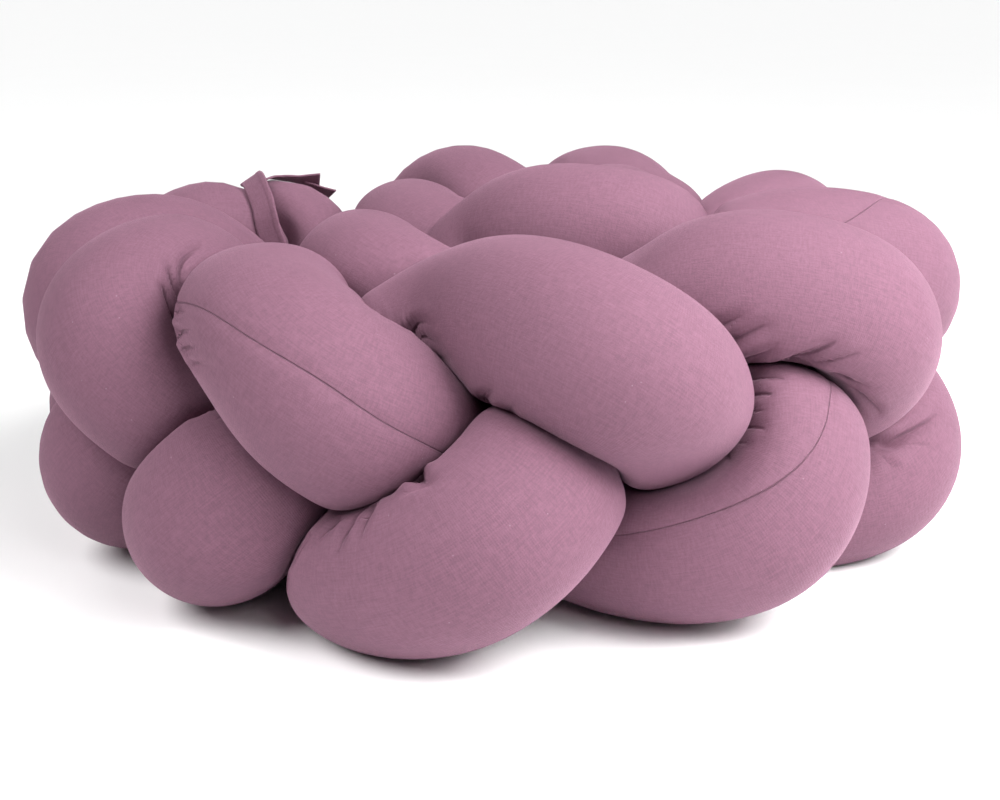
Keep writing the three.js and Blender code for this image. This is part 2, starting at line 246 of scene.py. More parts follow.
# Seam of each tube, a row for each bend of it, with the same turns
SeamRow = namedtuple("SeamRow", "row turn")
SEAMS = [
    [
        SeamRow(FIRST_ROW, -100),
        SeamRow(8.4, -100),
        SeamRow(8.9, 30),
        SeamRow(9.10, 66),
        SeamRow(9.19, 54),
        SeamRow(9.22, 49),
        SeamRow(9.26, 45),
        SeamRow(9.30, 43),
        SeamRow(9.36, 49),
        SeamRow(9.41, 61),
        SeamRow(9.46, 75),
        SeamRow(9.51, 82),
        SeamRow(9.60, 90),
        SeamRow(10.10, 96),
        SeamRow(10.60, 78),
        SeamRow(10.73, 69),
        SeamRow(10.83, 59),
        SeamRow(10.91, 41),
        SeamRow(10.97, 34),
        SeamRow(11.02, 31),
        SeamRow(11.40, 60),
        SeamRow(12.05, 52),
        SeamRow(12.12, 40),
        SeamRow(12.20, 12),
        SeamRow(12.60, -100),
        SeamRow(LAST_ROW, -100),
    ],
    [SeamRow(FIRST_ROW, -110), SeamRow(LAST_ROW, -110)],
    [SeamRow(FIRST_ROW, -110), SeamRow(LAST_ROW, -110)],
]

# A seam's valley in millimetres, the rings over which its path is evened, and the turns from
# it in degrees up to which it counts whole and past which not at all
SEAM_WIDTH = 2.4
SEAM_DEPTH = 0.9
SEAM_EVENING = 3
SEAM_WHOLE = 30.0
SEAM_NONE = 90.0

# Moves the round so that its outer bounds are centred on the Z axis, as in the solids
CENTRE_SHIFT = np.array([0.5, 2.1, 0.0])

# Shape of the plait, in millimetres, rows and radians
TUBES = 3
REST_HEIGHT = 43.0
RISE = 66.0
SWAY = 44.0
SWAY_PER_PITCH = 0.37
LEAN = 0.32
CREVICE_ROUNDING = 5.0
BEND_SHARE = 0.88
SAME_TUBE_REACH = 190.0
NEIGHBOUR_REACH = 160.0
NEIGHBOUR_PITCH = 8.0
END_LENGTH = 42.0
EVENING = 9.0
ROW_STEP = 0.02
BELL_REACH = 3
FAR = 1.0e4
TINY = 1.0e-9
NUDGE = 1.0e-12

# Uneven filling: how many waves, and the least and greatest length of one in millimetres
LUMP_WAVES = 9
LUMP_LENGTHS = (70, 160)

# Gathers, least and greatest: millimetres between them, half widths and shares of the full
# depth, drawn once for each such step of the tube; the bend, as reach over its radius, from
# which they begin, how far past that they are whole and grow no more, and how near a
# neighbour has to lie
GATHER_SPACINGS = (7, 17)
GATHER_WIDTHS = (2.6, 4.2)
GATHER_DEPTHS = (0.25, 1.0)
GATHER_DRAW_STEP = 8
GATHER_BEND_FROM = 0.25
GATHER_BEND_WHOLE = 0.35
GATHER_BEND_MOST = 0.6
GATHER_CONTACT = 16

# Fineness of the tubes' surfaces: more rings where the round faces the front
RINGS = 650
SIDES = 152
FRONT_ROWS = (7.8, 12.2)
FRONT_DENSITY = 3.2
FRONT_BLEND = 0.25
RINGS_AT_ONCE = 40
TRACE_STEPS_PER_ROW = 60

# Ribbon in millimetres, with its steps along and across and the power that squares its edges
RIBBON_THICKNESS = 1.2
RIBBON_STEPS_PER_ROW = 14
RIBBON_ACROSS = 25
RIBBON_EDGE_POWER = 24
RIBBON_CLEARANCE = 0.7
HEM_WIDTH = 3.6
HEM_STEP = 0.35

# Laying a ribbon on the tubes: places measured across it, millimetres round it in which a
# tube's points count, rounds, parts in which the work is done, and steps along it over which
# a lack and the middle are evened
LAY_PROBES = 9
LAY_MARGIN = 40
LAY_ROUNDS = 6
LAY_PARTS = 24
LACK_EVENING = 3
MIDDLE_EVENING = 2

# Metres between threads, and the factor that Blender's wave texture puts on its scale
COTTON_THREAD = 0.00055
RIBBON_THREAD = 0.0004
WAVE_FACTOR = 20

# Cloth's colour: fineness along and across a thick thread, of the dye and of the grain, the
# share of each in the shade, the range of shades, the deepest and the palest tone; and
# lint's fineness, inner and outer radius, share and colour
SLUB_LONG = 190
SLUB_FINE = 1150
DYE_SCALE = 14.0
DYE_DETAIL = 3.0
GRAIN_SCALE = 1300.0
SLUB_SHARE = 0.35
GRAIN_SHARE = 0.25
DYE_SHARE = 0.10
SHADE_RANGE = (0.34, 0.72)
DEEP_TONE = 0.82
PALE_TONE = 1.13
LINT_SCALE = 80.0
LINT_RADII = (0.025, 0.045)
LINT_SHARE = 0.25
LINT_COLOUR = (0.42, 0.31, 0.36, 1.0)

# Lines of a seam and of a crease: half width in millimetres where each begins and ends to
# fade, the depths between which a crease comes out, the dark tone and its share in each, and
# how far a seam's line sinks beside a crease's. On the seam the dark tone is the seam's own
# dark line; along a crease it is painted shade, standing in for the shade deep in the fold.
GROOVE_LINE = (0.1, 0.55)
GROOVE_SHARE = 0.48
GROOVE_SINK = 0.5
CREASE_SHADE_LINE = (0.0, 1.8)
CREASE_DEPTHS = (0.2, 3.0)
CREASE_SHADE_SHARE = 0.45
SEAM_LINE_AND_SHADE_TONE = 0.45

# Bumps of the cloth, distances in metres, and the shaders' own values
Bump = namedtuple("Bump", "strength distance")
WEAVE_BUMP = Bump(0.35, 0.0002)
SLUB_BUMP = Bump(0.35, 0.0002)
GRAIN_BUMP = Bump(0.45, 0.0003)
LINE_BUMP = Bump(1.0, 0.0012)
CLOTH_FINISH = {
    "Roughness": 0.80,
    "Specular IOR Level": 0.20,
    "Sheen Weight": 0.30,
    "Sheen Roughness": 0.35,
    "Sheen Tint": (0.72, 0.42, 0.56, 1.0),
}
FLOOR_FINISH = {"Roughness": 0.9, "Specular IOR Level": 0.1}

# Floor in metres, the scale of its unevenness and the share of its colour where it is dim
FLOOR_REACH = 400.0
FLOOR_DROP = 0.0006
FLOOR_CLOUD = 3.0
FLOOR_DIM = 0.985

# Light: an even soft key from the upper left, near soft lights on the right and in front, one
# over the far floor only, and a faint sky; places and sizes in metres, powers in watts and
# the width of each beam in degrees
KEY_FROM = (-0.60, -0.30, 0.80)
KEY_STRENGTH = 3.0
KEY_SOFTNESS = 40.0
SoftLight = namedtuple("SoftLight", "name place aim size power beam")
LIGHTS = [
    SoftLight("right_high", (0.80, -0.50, 1.00), (0, 0, 0.108), 0.8, 24.0, 180),
    SoftLight("right_low", (1.20, -0.20, 0.70), (0, 0, 0.108), 0.8, 11.0, 180),
    SoftLight("front", (0.50, -0.90, 0.90), (0, 0, 0.108), 0.8, 9.0, 180),
    SoftLight("far_floor", (0, 12.5, 5), (0, 12.5, 0), 22.0, 300.0, 30),
]
SKY_STRENGTH = 0.10

# Photograph's viewpoint, in metres and degrees, about the round's own axis
IMAGE_WIDTH_PX = 1000
FOCAL_PX = 1547
SENSOR_WIDTH = 36.0
VIEW_DISTANCE = 1.02
VIEW_HEIGHT = 0.108
VIEW_ELEVATION = 13.2
VIEW_DROP = 2.15

# What every colour of the property group has
COLOUR = {"subtype": "COLOR", "min": 0.0, "max": 1.0}


class BumperSizes(bpy.types.PropertyGroup):
    """Sizes of the bumper that a maker would change."""

    tube_radius: bpy.props.FloatProperty(
        name="Tube Radius",
        description="Radius of a stuffed tube where nothing presses on it",
        default=0.0505,
        min=0.02,
        unit="LENGTH",
    )
    gap: bpy.props.FloatProperty(
        name="Gap",
        description="Space left between two tubes that lie against each other",
        default=0.0006,
        min=0.0002,
        unit="LENGTH",
    )
    lumpiness: bpy.props.FloatProperty(
        name="Lumpiness",
        description="How far the filling stands unevenly under the cloth",
        default=0.0009,
        min=0.0,
        unit="LENGTH",
    )
    gather_depth: bpy.props.FloatProperty(
        name="Gather Depth",
        description="Depth of the small folds on the inner side of a tube's bends",
        default=0.0024,
        min=0.0,
        unit="LENGTH",
    )
    ribbon_width: bpy.props.FloatProperty(
        name="Ribbon Width",
        description="Width of the tie's ribbon",
        default=0.017,
        min=0.005,
        unit="LENGTH",
    )


class BumperColours(bpy.types.PropertyGroup):
    """Colours of the cloth and the floor."""

    cotton: bpy.props.FloatVectorProperty(
        name="Cotton",
        description="Colour of the tubes' cotton",
        default=(0.170, 0.081, 0.119),
        **COLOUR,
    )
    ribbon: bpy.props.FloatVectorProperty(
        name="Ribbon",
        description="Colour of the tie's ribbon",
        default=(0.170, 0.081, 0.119),
        **COLOUR,
    )
    floor: bpy.props.FloatVectorProperty(
        name="Floor",
        description="Colour of the floor",
        default=(0.97, 0.97, 0.97),
        **COLOUR,
    )


def unit(vectors):
    """Vectors divided by their lengths, along the last axis."""
    return vectors / np.linalg.norm(vectors, axis=-1, keepdims=True)


def square_to(vectors, along):
    """Unit directions of vectors less what lies along others."""
    return unit(vectors - (vectors * along).sum(axis=-1, keepdims=True) * along)


def row_weight(row, middle, spread):
    """A leaf's share at a place: the squared cosine, whole at its row, none past its spread."""
    return np.cos(np.minimum(1.0, np.abs(row - middle) / spread) * np.pi / 2) ** 2


def coil_at(row):
    """The plait's mid-line at places counted in coil rows: a cubic through the rows, each
    span from the two rows beside it, with its level direction and its length for one row."""
    angle = np.radians([r.angle for r in COIL_ROWS])
    radius = np.array([r.radius for r in COIL_ROWS], float)
    lift = np.array([r.lift for r in COIL_ROWS], float)
    knots = np.column_stack([radius * np.cos(angle), radius * np.sin(angle), lift])
    knots = np.vstack([2 * knots[0] - knots[1], knots, 2 * knots[-1] - knots[-2]])
    row = np.clip(row, 0, len(COIL_ROWS) - 1 - TINY)
    span = np.floor(row).astype(int)
    t = (row - span)[:, None]
    a, b, c, d = (knots[span + i] for i in range(4))
    linear = c - a
    square = 2 * a - 5 * b + 4 * c - d
    cube = 3 * b - a - 3 * c + d
    mid = 0.5 * (2 * b + linear * t + square * t**2 + cube * t**3)
    along = 0.5 * (linear + 2 * square * t + 3 * cube * t**2)
    along[:, 2] = 0.0
    pitch = np.linalg.norm(along, axis=1)
    return mid, along / pitch[:, None], pitch


def tube_middle(tube, row):
    """Middle of one tube: the mid-line, moved sideways by a sway that comes twice in a
    tube's turn and up and down by a rise that comes once, plus the leaves' own shifts."""
    mid, along, pitch = coil_at(row)
    even = 2 * np.pi * (row - tube) / TUBES
    turn = even - LEAN / 2 * np.cos(2 * even)
    top = (1 + np.cos(turn)) / 2
    sway = np.minimum(SWAY, SWAY_PER_PITCH * pitch) * np.sin(2 * turn)
    forward = np.zeros_like(row)
    height = REST_HEIGHT + (2 * RISE + mid[:, 2]) * top
    for leaf in (leaf for leaf in LEAF_SHIFTS if leaf.tube == tube):
        share = row_weight(row, leaf.row, leaf.spread)
        forward = forward + leaf.along * share
        sway = sway + leaf.out * share
        height = height + leaf.up * share
    x = mid[:, 0] + along[:, 1] * sway + along[:, 0] * forward
    y = mid[:, 1] - along[:, 0] * sway + along[:, 1] * forward
    return np.column_stack([x, y, height])


def trace_tube(tube):
    """Rows along a tube and the length run up to each, from the distances between them."""
    steps = round((LAST_ROW - FIRST_ROW) * TRACE_STEPS_PER_ROW)
    row = np.linspace(FIRST_ROW, LAST_ROW, steps + 1)
    stretch = np.linalg.norm(np.diff(tube_middle(tube, row), axis=0), axis=1)
    return row, np.concatenate([[0.0], np.cumsum(stretch)])


def ring_rows(tube):
    """Rows and runs of a tube's rings: even in a count that grows faster over the front rows,
    half a step in from each end."""
    row, run = trace_tube(tube)
    middle = (row[1:] + row[:-1]) / 2
    in_front = (middle > FRONT_ROWS[0]) & (middle < FRONT_ROWS[1])
    density = smooth_line(np.where(in_front, FRONT_DENSITY, 1.0), FRONT_BLEND * TRACE_STEPS_PER_ROW)
    count = np.concatenate([[0.0], np.cumsum(density * np.diff(run))])
    wanted = count[-1] * (np.arange(RINGS) + 0.5) / RINGS
    ring_run = np.interp(wanted, count, run)
    return np.interp(ring_run, run, row), ring_run, run[-1]


def neighbour_points():
    """Points along every tube's middle, close enough together to measure from."""
    points = []
    for tube in range(TUBES):
        row, run = trace_tube(tube)
        even = np.linspace(0, run[-1], round(run[-1] / NEIGHBOUR_PITCH) + 1)
        even_row = np.interp(even, run, row)
        points.append((tube, even_row, even, tube_middle(tube, even_row)))
    return points


def ring_axes(tube, row):
    """Each ring's middle, direction, bend and first ray. The bend is the change of direction
    over a small step; the ray starts upright and turns as little as can be from ring to ring."""
    place = tube_middle(tube, row)
    ahead = tube_middle(tube, row + ROW_STEP)
    behind = tube_middle(tube, row - ROW_STEP)
    step = (np.linalg.norm(ahead - place, axis=1) + np.linalg.norm(place - behind, axis=1)) / 2
    bend = (unit(ahead - place) - unit(place - behind)) / step[:, None]
    along = unit(ahead - behind)
    rays = np.empty_like(along)
    ray = np.array([0.0, 0.0, 1.0])
    for i, direction in enumerate(along):
        ray = ray - ray.dot(direction) * direction
        ray = ray / np.linalg.norm(ray)
        rays[i] = ray
    return place, along, bend, rays


def presses(tube, row, other, other_row):
    """Millimetres by which a tube stands past half-way to another: what the table gives, by
    the shares of both rows, less what it gives the other way round."""
    past = np.zeros((len(row), len(other_row)))
    for press in LEAF_PRESSES:
        if (tube, other) == (press.tube, press.other):
            here = row_weight(row, press.row, press.spread)
            past += press.by * here[:, None] * row_weight(other_row, press.other_row, press.spread)
        elif (tube, other) == (press.other, press.tube):
            here = row_weight(row, press.other_row, press.spread)
            past -= press.by * here[:, None] * row_weight(other_row, press.row, press.spread)
    return past


def half_ways(tube, row, run, place, rays, neighbours):
    """Distance along each ray to the plane half-way to each neighbour's middle, moved by what
    presses there: half the squared distance, and the press times the distance, over its
    part along the ray; the least of them holds the tube back."""
    limit = np.full(rays.shape[:2], FAR)
    for other, other_row, other_run, points in neighbours:
        for start in range(0, len(place), RINGS_AT_ONCE):
            ring = slice(start, start + RINGS_AT_ONCE)
            spread = np.linalg.norm(points[None] - place[ring, None], axis=2)
            close = (spread < NEIGHBOUR_REACH).any(axis=0)
            if not close.any():
                continue
            offset = points[close][None] - place[ring, None]
            toward = np.einsum("rsc,rnc->rsn", rays[ring], offset)
            squared = (offset**2).sum(axis=2)
            past = presses(tube, row[ring], other, other_row[close])
            plane = (squared / 2 + past * np.sqrt(squared))[:, None]
            half = np.where(toward > TINY, plane / np.maximum(toward, TINY), FAR)
            if other == tube:
                apart = np.abs(other_run[close][None] - run[ring, None]) > SAME_TUBE_REACH
                half = np.where(apart[:, None], half, FAR)
            limit[ring] = np.minimum(limit[ring], half.min(axis=2))
    return limit


def bell(sigma):
    """Weights of a bell curve over whole steps, adding up to one."""
    reach = math.ceil(BELL_REACH * sigma)
    steps = np.arange(-reach, reach + 1)
    weights = np.exp(-0.5 * (steps / sigma) ** 2)
    return weights / weights.sum()


def smooth_line(values, sigma):
    """Values evened along a line by a bell curve, with the ends held on."""
    weights = bell(sigma)
    side = len(weights) // 2
    return np.convolve(np.pad(values, side, mode="edge"), weights, mode="valid")


def smooth_grid(values, sigma_along, sigma_around):
    """A grid evened by a bell curve along it and round it; round it the grid closes."""
    weights = bell(sigma_along)
    side = len(weights) // 2
    held = np.pad(values, ((side, side), (0, 0)), mode="edge")
    along = sum(w * held[i : i + len(values)] for i, w in enumerate(weights))
    weights = bell(sigma_around)
    side = len(weights) // 2
    return sum(w * np.roll(along, i - side, axis=1) for i, w in enumerate(weights))


def smaller_smoothly(a, b, rounding):
    """The smaller of two values, with the corner between them rounded by a parabola."""
    blend = np.maximum(rounding - np.abs(a - b), 0.0) / rounding
    return np.minimum(a, b) - blend**2 * rounding / 4


def lumps(points, seed):
    """Uneven filling: the mean of plane waves with seeded directions, lengths and phases."""
    rng = np.random.default_rng(seed)
    direction = unit(rng.normal(size=(LUMP_WAVES, 3)))
    length = rng.uniform(*LUMP_LENGTHS, LUMP_WAVES)
    phase = rng.uniform(0, 2 * np.pi, LUMP_WAVES)
    return np.sin(points @ (direction * (2 * np.pi / length)[:, None]).T + phase).mean(axis=-1)


def gathers(run, length, inner, contact, seed):
    """Small folds round the inner side of a bend: seeded places along the tube, each a soft
    trough as deep as the bend and the contact there make it."""
    rng = np.random.default_rng(seed)
    places = np.cumsum(rng.uniform(*GATHER_SPACINGS, int(length / GATHER_DRAW_STEP)))
    places = places[places < length]
    width = rng.uniform(*GATHER_WIDTHS, len(places))
    depth = rng.uniform(*GATHER_DEPTHS, len(places))
    trough = depth * np.exp(-(((run[:, None] - places) / width) ** 2))
    return -trough.sum(axis=1)[:, None] * inner * contact


def turns_from_up(along, rays):
    """Degrees of each ray round its tube, from the upright made square to the tube, towards
    the outer side; with those two directions."""
    up = unit(np.array([0.0, 0.0, 1.0]) - along[:, 2:] * along)
    outward = np.cross(along, up)
    level = np.einsum("rsc,rc->rs", rays, outward)
    upright = np.einsum("rsc,rc->rs", rays, up)
    return np.degrees(np.arctan2(level, upright)), up, outward


def half_turn(degrees):
    """Degrees brought between -180 and 180."""
    return (degrees + 180) % 360 - 180


def puckers(tube, row, place, turns, up, outward, reach, rays):
    """The folds of the table: a path over the surface from row and turn to row and turn, begun a
    little before, inside the crevice; by each point's distance from it, a bell-shaped trough
    with a low ridge on either side, less deep towards the far end. Also each point's offset,
    with its sign, from the crease of the fold that tells most there, and how much more that
    one tells than the next: nothing where a point beside it is told by another fold."""
    height = np.zeros(reach.shape)
    crease = np.full(reach.shape, CREASE_FAR)
    depth = np.zeros(reach.shape)
    second = np.zeros(reach.shape)
    told_by = np.full(reach.shape, -1)
    points = place[:, None] + reach[..., None] * rays
    share = np.linspace(-FOLD_START, 1, FOLD_STEPS)
    index = np.arange(len(row))
    for number, fold in enumerate(FOLDS):
        if fold.tube != tube:
            continue
        ring = np.interp(fold.row + (fold.to_row - fold.row) * share, row, index)
        turn = fold.turn + (fold.to_turn - fold.turn) * share
        near = np.rint(ring).astype(int)
        side = np.abs(half_turn(turns[near] - turn[:, None])).argmin(axis=1)
        middle, upright, level = (
            np.column_stack([np.interp(ring, index, table[:, i]) for i in range(3)])
            for table in (place, up, outward)
        )
        angle = np.radians(turn)[:, None]
        ray = unit(upright * np.cos(angle) + level * np.sin(angle))
        path = middle + reach[near, side][:, None] * ray
        span = slice(max(0, near.min() - FOLD_RINGS_AROUND), near.max() + FOLD_RINGS_AROUND)
        offset = np.linalg.norm(points[span, :, None] - path, axis=-1)
        nearest = offset.argmin(axis=-1)
        distance = offset.min(axis=-1)
        fade = (1 - np.maximum(share[nearest], 0.0)) ** FOLD_FADE
        trough = np.exp(-((distance / fold.width) ** 2))
        ridge = np.exp(-((distance / fold.width - FOLD_RIDGE_AT) ** 2))
        height[span] += fold.depth * fade * (FOLD_RIDGE * ridge - trough)
        across = np.cross(unit(np.gradient(path, axis=0))[nearest], rays[span])
        hand = np.sign((across * (points[span] - path[nearest])).sum(axis=-1))
        tells = fold.depth * fade * np.exp(-((distance / (CREASE_REACH * fold.width)) ** 2))
        more = tells > depth[span]
        crease[span] = np.where(more, np.minimum(distance, CREASE_FAR) * hand, crease[span])
        second[span] = np.where(more, depth[span], np.maximum(second[span], tells))
        depth[span] = np.maximum(depth[span], tells)
        told_by[span] = np.where(more, number, told_by[span])
    shifted = [np.roll(told_by, step, axis) for axis in (0, 1) for step in (-1, 1)]
    alone = np.all([other == told_by for other in shifted], axis=0)
    return height, crease, np.where(alone, depth - second, 0.0)


def seam_offsets(tube, row, run, turns, reach):
    """Millimetres of each point from its tube's seam: the turn from the seam's own, as an arc,
    times the cosine of the slope at which the seam crosses the ring; and where that counts."""
    table = np.array(SEAMS[tube], float)
    seam = smooth_line(np.interp(row, table[:, 0], table[:, 1]), SEAM_EVENING)
    turn = half_turn(turns - seam[:, None])
    slope = np.radians(np.gradient(seam, run))[:, None] * reach
    offset = np.radians(turn) * reach / np.sqrt(1 + slope**2)
    counts = (SEAM_NONE - np.abs(turn)) / (SEAM_NONE - SEAM_WHOLE)
    return offset, np.clip(counts, 0.0, 1.0)


def tube_grid(tube, sizes, neighbours):
    """A tube's surface: from each ring's middle along each ray by the free radius with its
    swells, held back half-way to each neighbour and by the tube's own bend, and evened; then
    lumps, gathers, puckers and the seam's valley are added, and it is held back half-way
    again and flattened where it meets the floor."""
    radius = sizes.tube_radius / MM
    gap = sizes.gap / MM
    row, run, length = ring_rows(tube)
    place, along, bend, first = ring_axes(tube, row)
    second = np.cross(along, first)
    turn = 2 * np.pi * np.arange(SIDES) / SIDES
    rays = first[:, None] * np.cos(turn)[:, None] + second[:, None] * np.sin(turn)[:, None]

    from_end = np.minimum(np.minimum(run, length - run), END_LENGTH) / END_LENGTH
    free = np.full(rays.shape[:2], radius)
    for leaf in (leaf for leaf in LEAF_SWELLS if leaf.tube == tube):
        side = np.maximum(0.0, rays @ unit(np.array(leaf.to, float))) ** 2
        free = free + leaf.by * row_weight(row, leaf.row, leaf.spread)[:, None] * side
    free = free * np.sqrt(1 - (1 - from_end) ** 2)[:, None]

    half = half_ways(tube, row, run, place, rays, neighbours) - gap / 2
    bending = np.einsum("rc,rsc->rs", bend, rays)
    own = np.where(bending > TINY, BEND_SHARE / np.maximum(bending, TINY), FAR)
    reach = smaller_smoothly(free, np.minimum(half, own - gap / 2), CREVICE_ROUNDING)
    ring_step = length / RINGS
    side_step = 2 * np.pi * radius / SIDES
    reach = smooth_grid(reach, EVENING / ring_step, EVENING / side_step)

    inner = np.clip(bending * reach - GATHER_BEND_FROM, 0.0, GATHER_BEND_MOST)
    contact = np.clip(1 - (half - reach) / GATHER_CONTACT, 0.0, 1.0)
    reach = reach + sizes.lumpiness / MM * lumps(place[:, None] + reach[..., None] * rays, tube)
    gathered = gathers(run, length, inner, contact, tube) / GATHER_BEND_WHOLE
    reach = reach + sizes.gather_depth / MM * gathered
    turns, up, outward = turns_from_up(along, rays)
    folded, crease, crease_depth = puckers(tube, row, place, turns, up, outward, reach, rays)
    reach = reach + folded
    seam, seam_near = seam_offsets(tube, row, run, turns, reach)
    reach = reach - SEAM_DEPTH * np.exp(-((seam / SEAM_WIDTH) ** 2)) * seam_near
    reach = np.minimum(reach, half)
    down = np.maximum(-rays[..., 2], TINY)
    reach = np.minimum(reach, np.where(rays[..., 2] < 0, place[:, None, 2] / down, FAR))
    return {
        "points": place[:, None] + reach[..., None] * rays,
        "run": run,
        "seam": seam,
        "seam_near": seam_near,
        "crease": crease,
        "crease_depth": crease_depth,
    }


def closed_skin(name, points, first, last, run, girth):
    """A mesh through rings of points, closed round and with a point at each end. Its UV map
    is metres: the run along the tube, and the share of the girth round it."""
    rings, sides = points.shape[:2]
    vertices = np.vstack([first[None], points.reshape(-1, 3), last[None]])
    index = 1 + np.arange(rings * sides).reshape(rings, sides)
    onward = np.roll(index, -1, axis=1)
    quads = np.stack([index[:-1], onward[:-1], onward[1:], index[1:]], axis=-1).reshape(-1, 4)
    end = rings * sides + 1
    start_fan = np.column_stack([np.zeros(sides, int), onward[0], index[0]])
    end_fan = np.column_stack([np.full(sides, end), index[-1], onward[-1]])
    mesh = bpy.data.meshes.new(name)
    mesh.from_pydata(vertices * MM, [], quads.tolist() + start_fan.tolist() + end_fan.tolist())
    around = np.arange(sides + 1) / sides * girth
    u = np.broadcast_to(run[:, None], (rings, sides))
    near = np.stack([u, np.broadcast_to(around[:-1], (rings, sides))], axis=-1)
    far = np.stack([u, np.broadcast_to(around[1:], (rings, sides))], axis=-1)
    quad_uv = np.stack([near[:-1], far[:-1], far[1:], near[1:]], axis=2)
    start_uv = np.stack([np.zeros((sides, 2)), far[0], near[0]], axis=1)
    end_uv = np.stack([np.full((sides, 2), run[-1]), near[-1], far[-1]], axis=1)
    uv = np.vstack([corners.reshape(-1, 2) for corners in (quad_uv, start_uv, end_uv)]) * MM
    layer = mesh.uv_layers.new(name="cloth")
    layer.data.foreach_set("uv", uv.astype(np.float32).ravel())
    mesh.polygons.foreach_set("use_smooth", np.ones(len(mesh.polygons), bool))
    mesh.update()
    return mesh


def catmull(rows, t):
    """A curve through rows, each span a cubic whose slopes weigh the spans beside it by the
    square root of their lengths, at t from 0 to 1 counted evenly in rows."""
    count = len(rows)
    knots = np.vstack([2 * rows[0] - rows[1], rows, 2 * rows[-1] - rows[-2]])
    place = np.clip(t * (count - 1), 0, count - 1 - TINY)
    span = np.floor(place).astype(int)
    f = (place - span)[:, None]
    p0, p1, p2, p3 = (knots[span + i] for i in range(4))
    a, b, c = (
        np.maximum(np.sqrt(np.linalg.norm(q - p, axis=1)), TINY)[:, None]
        for p, q in ((p0, p1), (p1, p2), (p2, p3))
    )
    slope1 = ((p1 - p0) / a - (p2 - p0) / (a + b) + (p2 - p1) / b) * b
    slope2 = ((p2 - p1) / b - (p3 - p1) / (b + c) + (p3 - p2) / c) * b
    return (
        (2 * f**3 - 3 * f**2 + 1) * p1
        + (f**3 - 2 * f**2 + f) * slope1
        + (3 * f**2 - 2 * f**3) * p2
        + (f**3 - f**2) * slope2
    )


def ribbon_axes(rows):
    """Middle of a ribbon and the direction across it, along the curves through its rows; what
    lies along the ribbon is taken out of that direction."""
    table = np.array(rows, float)
    t = np.linspace(0, 1, (len(rows) - 1) * RIBBON_STEPS_PER_ROW + 1)
    middle = catmull(table[:, :3], t)
    along = unit(np.gradient(middle, axis=0))
    across = catmull(table[:, 3:], t)
    return middle, square_to(across, along)


def surface_normals(points):
    """Outward directions of a closed grid, from its differences along and round it, never 0."""
    along = np.gradient(points, axis=0)
    around = np.roll(points, -1, axis=1) - np.roll(points, 1, axis=1)
    return unit(np.cross(around, along) + NUDGE)


def lay_on(middle, across, half_width, skins):
    """Moves a ribbon's cross-sections out of the tubes, in rounds: at each, the least clearance
    over its width is measured from the nearest points of the skins, what lacks, evened along
    the ribbon, is added along the mean of their outward directions, and then the middle is
    evened, all but its two ends."""
    span = np.linspace(-half_width, half_width, LAY_PROBES)
    low = middle.min(axis=0) - LAY_MARGIN
    high = middle.max(axis=0) + LAY_MARGIN
    near = [((p > low) & (p < high)).all(axis=2) for p, _ in skins]
    points = np.vstack([p[keep] for (p, _), keep in zip(skins, near)])
    normals = np.vstack([n[keep] for (_, n), keep in zip(skins, near)])
    for _ in range(LAY_ROUNDS):
        probes = (middle[:, None] + across[:, None] * span[:, None]).reshape(-1, 3)
        nearest = np.concatenate(
            [
                ((probe[:, None] - points) ** 2).sum(axis=2).argmin(axis=1)
                for probe in np.array_split(probes, LAY_PARTS)
            ]
        )
        clear = ((probes - points[nearest]) * normals[nearest]).sum(axis=1)
        clear = clear.reshape(len(middle), -1)
        out = unit(normals[nearest].reshape(len(middle), -1, 3).mean(axis=1))
        lack = np.maximum(0.0, RIBBON_CLEARANCE + RIBBON_THICKNESS / 2 - clear.min(axis=1))
        middle = middle + np.maximum(lack, smooth_line(lack, LACK_EVENING))[:, None] * out
        smoothed = np.column_stack([smooth_line(axis, MIDDLE_EVENING) for axis in middle.T])
        smoothed[[0, -1]] = middle[[0, -1]]
        middle = smoothed
    return middle


def ribbon_mesh(name, middle, across, width):
    """A ribbon as a closed slab, and its length: rings of points across its face and back again
    over its back, with a hem's step along one edge and square ends. Its UV map is metres
    along and round it."""
    along = unit(np.gradient(middle, axis=0))
    across = square_to(across, along)
    face = np.cross(across, along)
    side = np.linspace(-1, 1, RIBBON_ACROSS)
    rounding = np.sqrt(np.clip(1 - np.abs(side) ** RIBBON_EDGE_POWER, 0.0, 1.0))
    hem = HEM_STEP * (side * width / 2 > width / 2 - HEM_WIDTH)
    top = rounding * RIBBON_THICKNESS / 2 + hem * rounding
    bottom = -rounding * RIBBON_THICKNESS / 2
    offset = np.concatenate([side, side[::-1][1:-1]]) * width / 2
    height = np.concatenate([top, bottom[::-1][1:-1]])
    rings = middle[:, None] + across[:, None] * offset[:, None] + face[:, None] * height[:, None]
    run = np.concatenate([[0.0], np.cumsum(np.linalg.norm(np.diff(middle, axis=0), axis=1))])
    return closed_skin(name, rings, middle[0], middle[-1], run, 2 * width), run[-1]


def add_piece(name, mesh, material, node):
    """Puts a finished mesh into the scene for a CAD node, on the part's one body."""
    piece = bpy.data.objects.new(name, mesh)
    bpy.context.scene.collection.objects.link(piece)
    mesh.materials.append(material)
    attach(piece, "root")
    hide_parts(node)
    return piece


